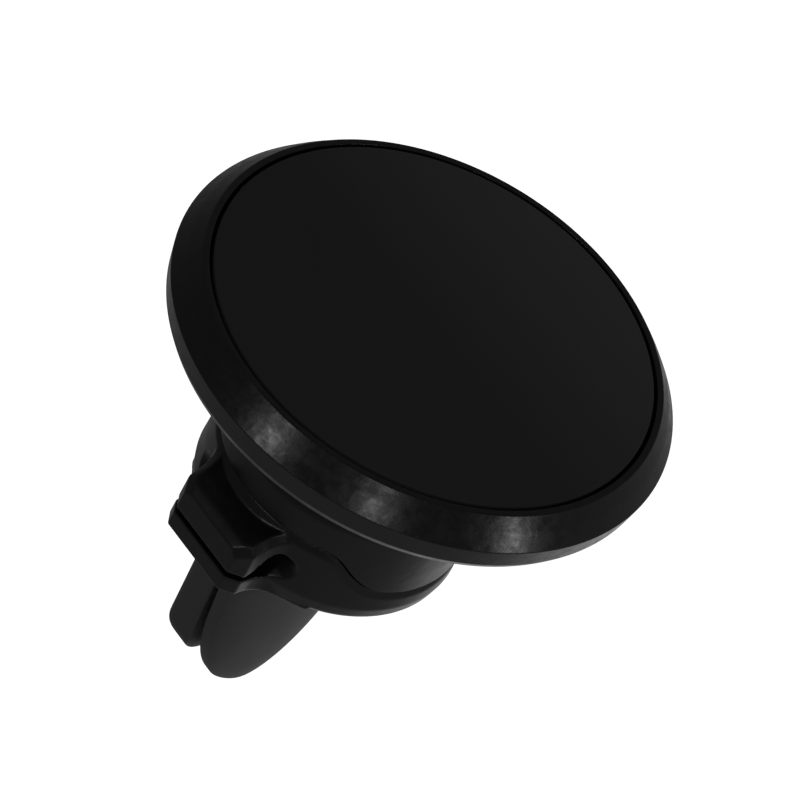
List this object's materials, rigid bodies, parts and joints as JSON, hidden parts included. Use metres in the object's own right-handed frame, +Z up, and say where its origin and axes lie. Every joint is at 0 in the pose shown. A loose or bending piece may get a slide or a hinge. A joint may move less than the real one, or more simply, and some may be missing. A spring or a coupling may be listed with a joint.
{
  "type": "car phone mount",
  "caption": "Round magnetic car phone holder on a ball joint, with a drum base, a cable clip and sprung rubber jaws that grip a vent blade.",
  "frame": {"origin": "on the ball joint's axis, between the two jaws, where the vent blade is gripped, 48 mm behind the phone face", "axes": "+Y runs along the ball joint's axis into the vent, so the phone face looks along -Y; +Z is up, across the slot between the upper and lower jaw; +X points to the cable clip's end"},
  "size_m": [0.0604, 0.0619, 0.0604],
  "materials": {
    "face_rubber": "matte black silicone rubber, very fine grain",
    "bezel_plastic": "satin black moulded plastic, fine spark-eroded grain",
    "housing_plastic": "satin black moulded plastic",
    "jaw_rubber": "matte dark grey soft rubber",
    "seal_rubber": "matte black rubber",
    "stud_plastic": "smooth glossy black plastic",
    "acetal": "dark grey acetal",
    "tape": "thin grey double-sided foam tape",
    "steel": "zinc plated steel",
    "magnet_nickel": "nickel plated magnet"
  },
  "bodies": {
    "clip_body": {"upper_housing": "housing_plastic", "lower_housing": "housing_plastic", "mid_plate": "steel", "pressure_ring": "seal_rubber", "housing_screw_1": "steel", "housing_screw_2": "steel", "housing_screw_3": "steel", "upper_jaw_pin": "steel", "upper_jaw_spring": "steel", "lower_jaw_pin": "steel", "lower_jaw_spring": "steel"},
    "liner": {"socket_liner": "acetal"},
    "stud": {"ball_stud": "stud_plastic"},
    "head": {"face_pad": "face_rubber", "pad_adhesive": "tape", "front_bezel": "bezel_plastic", "magnet_carrier": "acetal", "magnet_1": "magnet_nickel", "magnet_2": "magnet_nickel", "magnet_3": "magnet_nickel", "magnet_4": "magnet_nickel", "magnet_5": "magnet_nickel", "magnet_6": "magnet_nickel", "steel_yoke": "steel", "stud_retainer": "steel", "back_cover": "housing_plastic", "cover_screw_1": "steel", "cover_screw_2": "steel", "cover_screw_3": "steel", "cover_screw_4": "steel", "friction_washer": "seal_rubber"},
    "upper_jaw": {"upper_jaw_core": "acetal", "upper_jaw_pad": "jaw_rubber"},
    "lower_jaw": {"lower_jaw_core": "acetal", "lower_jaw_pad": "jaw_rubber"}
  },
  "joints": [
    {"name": "socket_spin", "type": "hinge", "parent": "clip_body", "child": "liner", "pos_m": [0, -0.0294, 0], "axis": [0, 1, 0], "continuous": true},
    {"name": "ball_tilt", "type": "hinge", "parent": "liner", "child": "stud", "pos_m": [0, -0.0294, 0], "axis": [1, 0, 0], "range_deg": [-30, 30]},
    {"name": "head_spin", "type": "hinge", "parent": "stud", "child": "head", "pos_m": [0, -0.0405, 0], "axis": [0, 1, 0], "continuous": true},
    {"name": "upper_jaw_open", "type": "hinge", "parent": "clip_body", "child": "upper_jaw", "pos_m": [0.0028, -0.0181, 0.0021], "axis": [1, 0, 0], "range_deg": [0, 7], "stiffness_Nm_per_rad": 0.4, "springref_deg": -8.59},
    {"name": "lower_jaw_open", "type": "hinge", "parent": "clip_body", "child": "lower_jaw", "pos_m": [0.0028, -0.0181, -0.0021], "axis": [-1, 0, 0], "range_deg": [0, 7], "stiffness_Nm_per_rad": 0.4, "springref_deg": -8.59}
  ],
  "couplings": [
    {"joint": "lower_jaw_open", "follows": "upper_jaw_open", "ratio": 1}
  ]
}
